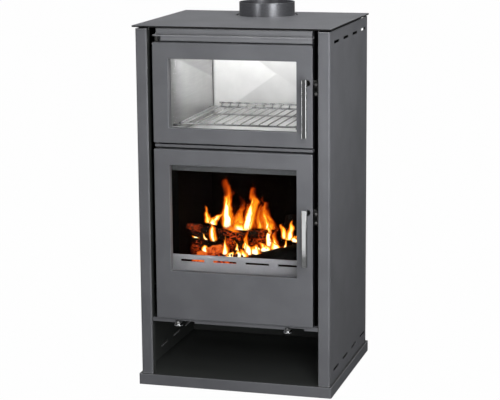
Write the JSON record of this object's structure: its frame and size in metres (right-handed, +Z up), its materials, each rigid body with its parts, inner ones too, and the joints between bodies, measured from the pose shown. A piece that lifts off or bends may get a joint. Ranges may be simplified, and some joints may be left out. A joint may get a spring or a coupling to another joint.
{
  "type": "wood cookstove",
  "caption": "Freestanding wood cookstove in grey painted steel, with a glazed oven door above a glazed fire door, an open log store below, a hot plate and a flue collar.",
  "frame": {"origin": "centre of the plinth's footprint, on the floor", "axes": "+Z up, front with the doors towards -Y, +X to the viewer's right"},
  "size_m": [0.52, 0.489, 0.982],
  "materials": {
    "grey_paint": "satin dark grey heat-proof paint on sheet steel",
    "dark_sheet": "matt near-black heat-proof paint on sheet steel",
    "bright_steel": "bright bare steel",
    "chrome": "polished chrome plate",
    "glass": "clear heat-proof glass",
    "cast_iron": "rough grey iron",
    "rope": "woven glass-fibre rope",
    "fire_brick": "sooted dense fire brick"
  },
  "bodies": {
    "cabinet": {"base_plinth": "grey_paint", "side_panel_left": "grey_paint", "side_panel_right": "grey_paint", "top_plate": "grey_paint", "front_frame": "grey_paint", "mid_bar": "grey_paint", "top_lip": "grey_paint", "bottom_rail": "grey_paint", "log_guard": "grey_paint", "air_wash_strip": "grey_paint", "flue_collar": "grey_paint", "body_side_left": "dark_sheet", "body_side_right": "dark_sheet", "body_back": "dark_sheet", "body_floor": "dark_sheet", "body_roof": "dark_sheet", "log_store_back": "dark_sheet", "rear_heat_shield": "dark_sheet", "panel_spacers_left": "dark_sheet", "panel_spacers_right": "dark_sheet", "shield_spacers": "dark_sheet", "hearth_plate": "dark_sheet", "air_slide_tray": "dark_sheet", "ash_pan_rails": "dark_sheet", "oven_box": "bright_steel", "rack_runner_left": "bright_steel", "rack_runner_right": "bright_steel", "oven_latch_strike": "bright_steel", "fire_latch_strike": "bright_steel", "oven_hinge_studs": "bright_steel", "fire_hinge_studs": "bright_steel", "fire_grate": "cast_iron", "fire_brick_left": "fire_brick", "fire_brick_right": "fire_brick", "fire_brick_back": "fire_brick", "smoke_baffle": "fire_brick"},
    "oven_door": {"oven_door_panel": "grey_paint", "oven_door_glass": "glass", "oven_door_liner": "dark_sheet", "oven_door_gasket": "rope", "oven_door_bushes": "bright_steel", "oven_door_boss": "chrome"},
    "oven_handle": {"oven_handle_grip": "chrome", "oven_handle_spindle": "bright_steel", "oven_handle_tongue": "bright_steel"},
    "fire_door": {"fire_door_panel": "grey_paint", "fire_door_glass": "glass", "fire_door_liner": "dark_sheet", "fire_door_gasket": "rope", "fire_door_bushes": "bright_steel", "fire_door_boss": "chrome"},
    "fire_handle": {"fire_handle_grip": "chrome", "fire_handle_spindle": "bright_steel", "fire_handle_tongue": "bright_steel"},
    "oven_rack": {"oven_rack": "bright_steel"},
    "ash_pan": {"ash_pan": "dark_sheet"},
    "primary_air": {"primary_air_slide": "bright_steel", "primary_air_knob": "chrome"},
    "secondary_air": {"secondary_air_slide": "bright_steel", "secondary_air_knob": "chrome"}
  },
  "joints": [
    {"name": "oven_door_hinge", "type": "hinge", "parent": "cabinet", "child": "oven_door", "pos_m": [-0.2017, -0.207, 0.77575], "axis": [0, 0, -1], "range_deg": [0, 110]},
    {"name": "oven_handle_turn", "type": "hinge", "parent": "oven_door", "child": "oven_handle", "pos_m": [0.197, -0.22, 0.811], "axis": [0, 1, 0], "range_deg": [0, 80]},
    {"name": "fire_door_hinge", "type": "hinge", "parent": "cabinet", "child": "fire_door", "pos_m": [-0.2017, -0.207, 0.4066], "axis": [0, 0, -1], "range_deg": [0, 110]},
    {"name": "fire_handle_turn", "type": "hinge", "parent": "fire_door", "child": "fire_handle", "pos_m": [0.197, -0.22, 0.4824], "axis": [0, 1, 0], "range_deg": [0, 80]},
    {"name": "primary_air_travel", "type": "slide", "parent": "cabinet", "child": "primary_air", "axis": [1, 0, 0], "range_m": [0, 0.03]},
    {"name": "secondary_air_travel", "type": "slide", "parent": "cabinet", "child": "secondary_air", "axis": [1, 0, 0], "range_m": [0, 0.03]},
    {"name": "rack_travel", "type": "slide", "parent": "cabinet", "child": "oven_rack", "axis": [0, -1, 0], "range_m": [-0.04, 0.012]},
    {"name": "ash_pan_travel", "type": "slide", "parent": "cabinet", "child": "ash_pan", "axis": [0, -1, 0], "range_m": [0, 0.014]}
  ]
}
